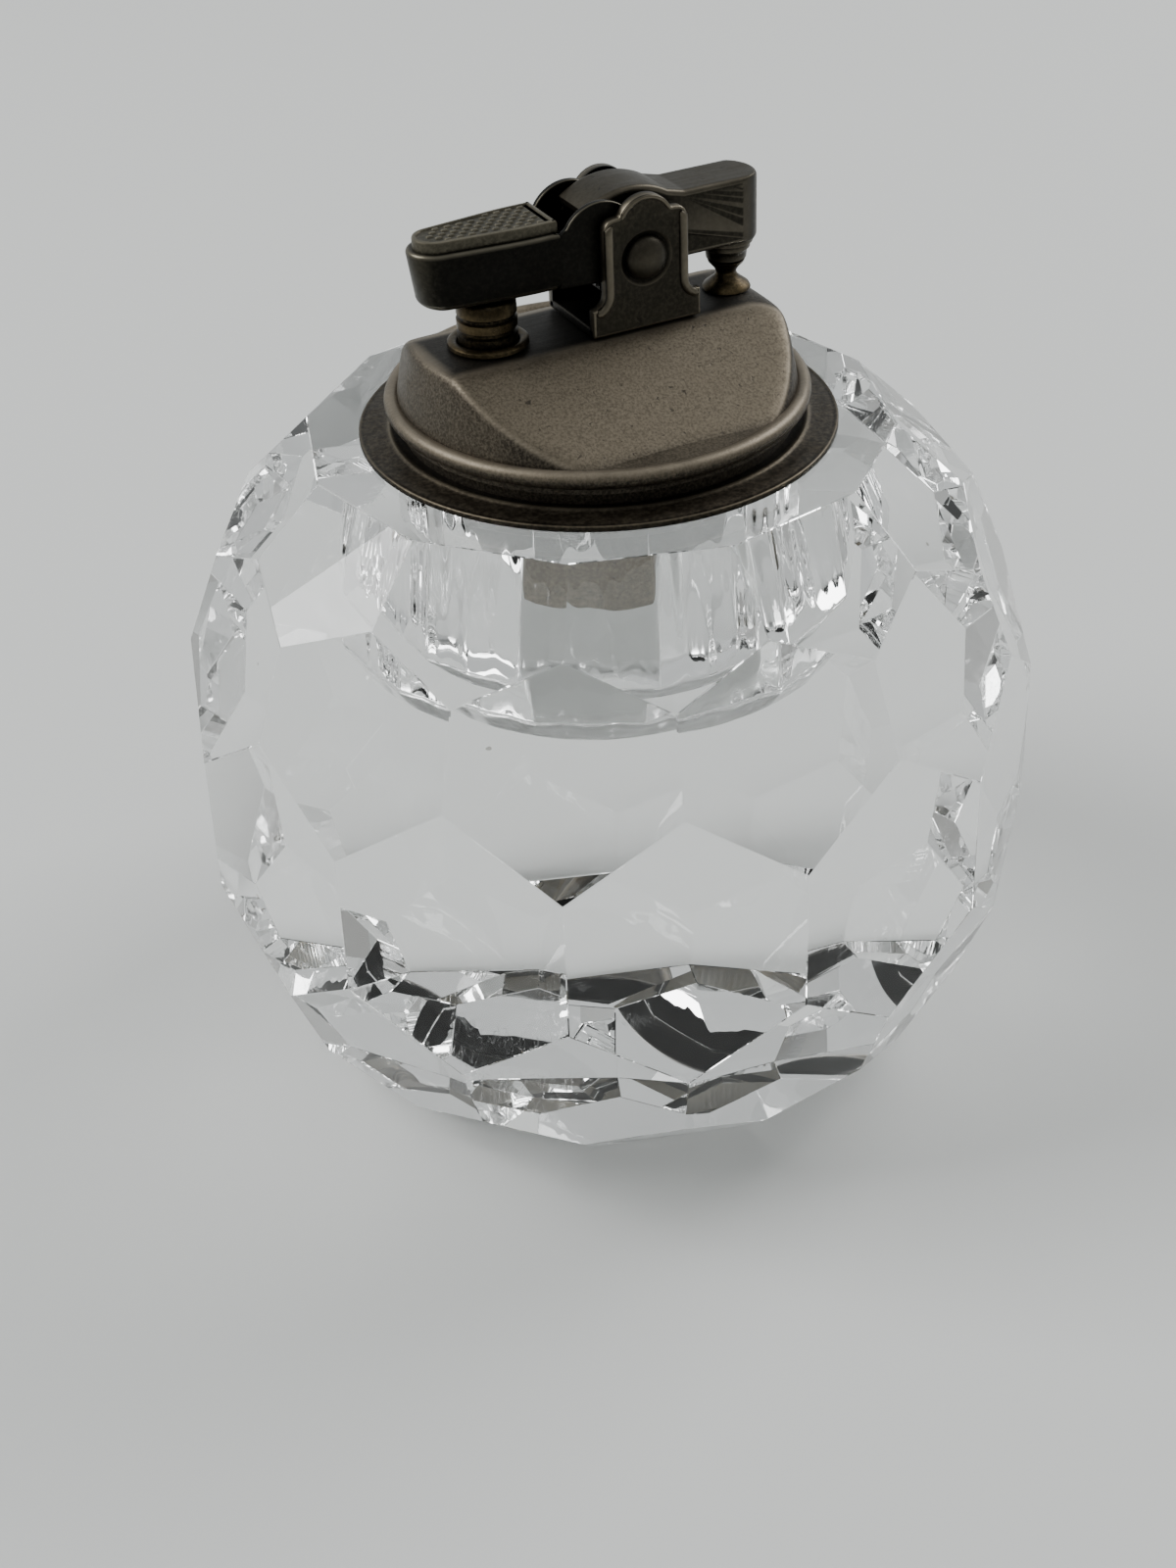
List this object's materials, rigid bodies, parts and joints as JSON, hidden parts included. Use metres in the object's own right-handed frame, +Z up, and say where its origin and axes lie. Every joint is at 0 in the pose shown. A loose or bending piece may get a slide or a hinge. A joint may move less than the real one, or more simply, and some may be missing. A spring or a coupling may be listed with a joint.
{
  "type": "table lighter",
  "caption": "Table lighter: a clear ball cut with rows of facets, holding a lift-out metal insert with a thumb lever, hooded flint wheel and snuffer arm.",
  "frame": {"origin": "centre of the flat base, on the surface that the ball stands on", "axes": "+Z up along the ball's axis; +X from the thumb lever towards the snuffer nose; the lever and snuffer swing in the XZ plane"},
  "size_m": [0.0818, 0.0818, 0.0859],
  "materials": {
    "crystal": "cut and polished clear crystal",
    "clear_vinyl": "translucent soft plastic",
    "antique_pewter": "antiqued, grainy, worn lighter on edges",
    "dark_flange": "dark antiqued brown",
    "dark_bracket": "dark antiqued, burnished edges",
    "gunmetal_lever": "dark antiqued, burnished edges",
    "knurled_pad": "knurled, worn lighter",
    "gunmetal_snuffer": "dark antiqued, burnished edges",
    "aged_brass": "tarnished brass",
    "tank_metal": "dull tarnished sheet",
    "bright_steel": "bright",
    "wheel_steel": "hardened, sooty",
    "flint_alloy": "matt grey",
    "cotton": "cotton",
    "felt": "felt",
    "red_fibre": "pressed fibre washer"
  },
  "bodies": {
    "ball": {"crystal_ball": "crystal"},
    "insert": {"grip_ring": "clear_vinyl", "flange_plate": "dark_flange", "fuel_tank": "tank_metal", "wadding": "cotton", "housing": "antique_pewter", "bracket": "dark_bracket", "rivet": "dark_bracket", "fulcrum_pins": "bright_steel", "flint_tube": "aged_brass", "flint": "flint_alloy", "flint_pusher": "aged_brass", "flint_spring": "bright_steel", "plunger_bush": "aged_brass", "return_spring": "bright_steel", "burner": "aged_brass", "wick": "cotton", "filler_bush": "aged_brass"},
    "lever": {"thumb_lever": "gunmetal_lever", "thumb_pad": "knurled_pad", "drive_pins": "bright_steel"},
    "snuffer": {"snuffer_arm": "gunmetal_snuffer", "snuffer_cap": "dark_bracket", "cap_seal": "felt", "pawl": "bright_steel"},
    "wheel": {"flint_wheel": "wheel_steel", "ratchet_wheel": "wheel_steel"},
    "plunger": {"plunger": "aged_brass"},
    "filler_gasket": {"filler_gasket": "red_fibre"},
    "filler_screw": {"filler_screw": "aged_brass"},
    "flint_screw": {"flint_screw": "aged_brass"}
  },
  "joints": [
    {"name": "insert_lift", "type": "slide", "parent": "ball", "child": "insert", "axis": [0, 0, 1], "range_m": [0, 0.03]},
    {"name": "lever_press", "type": "hinge", "parent": "insert", "child": "lever", "pos_m": [0.0001, 0, 0.0822], "axis": [0, -1, 0], "range_deg": [0, 13.5], "stiffness_Nm_per_rad": 0.02, "springref_deg": -5.73},
    {"name": "arm_lift", "type": "hinge", "parent": "insert", "child": "snuffer", "pos_m": [0.003, 0, 0.08], "axis": [0, -1, 0], "range_deg": [0, 35.2]},
    {"name": "wheel_spin", "type": "hinge", "parent": "insert", "child": "wheel", "pos_m": [0.003, 0, 0.08], "axis": [0, -1, 0], "range_deg": [0, 35.2]},
    {"name": "plunger_push", "type": "slide", "parent": "insert", "child": "plunger", "axis": [0, 0, -1], "range_m": [0, 0.0028], "deforming": ["return_spring"]},
    {"name": "filler_out", "type": "slide", "parent": "insert", "child": "filler_gasket", "axis": [0, 0, -1], "range_m": [0, 0.0021]},
    {"name": "filler_turn", "type": "hinge", "parent": "filler_gasket", "child": "filler_screw", "pos_m": [-0.008, 0, 0.047], "axis": [0, 0, -1], "range_deg": [0, 1080]},
    {"name": "flint_screw_turn", "type": "hinge", "parent": "insert", "child": "flint_screw", "pos_m": [0.003, 0, 0.047], "axis": [0, 0, -1], "range_deg": [0, 1440]}
  ],
  "couplings": [
    {"joint": "arm_lift", "follows": "lever_press", "ratio": 2.6},
    {"joint": "wheel_spin", "follows": "lever_press", "ratio": 2.6},
    {"joint": "plunger_push", "follows": "lever_press", "m_per_rad": 0.0118},
    {"joint": "filler_turn", "follows": "filler_out", "rad_per_m": 8976}
  ]
}
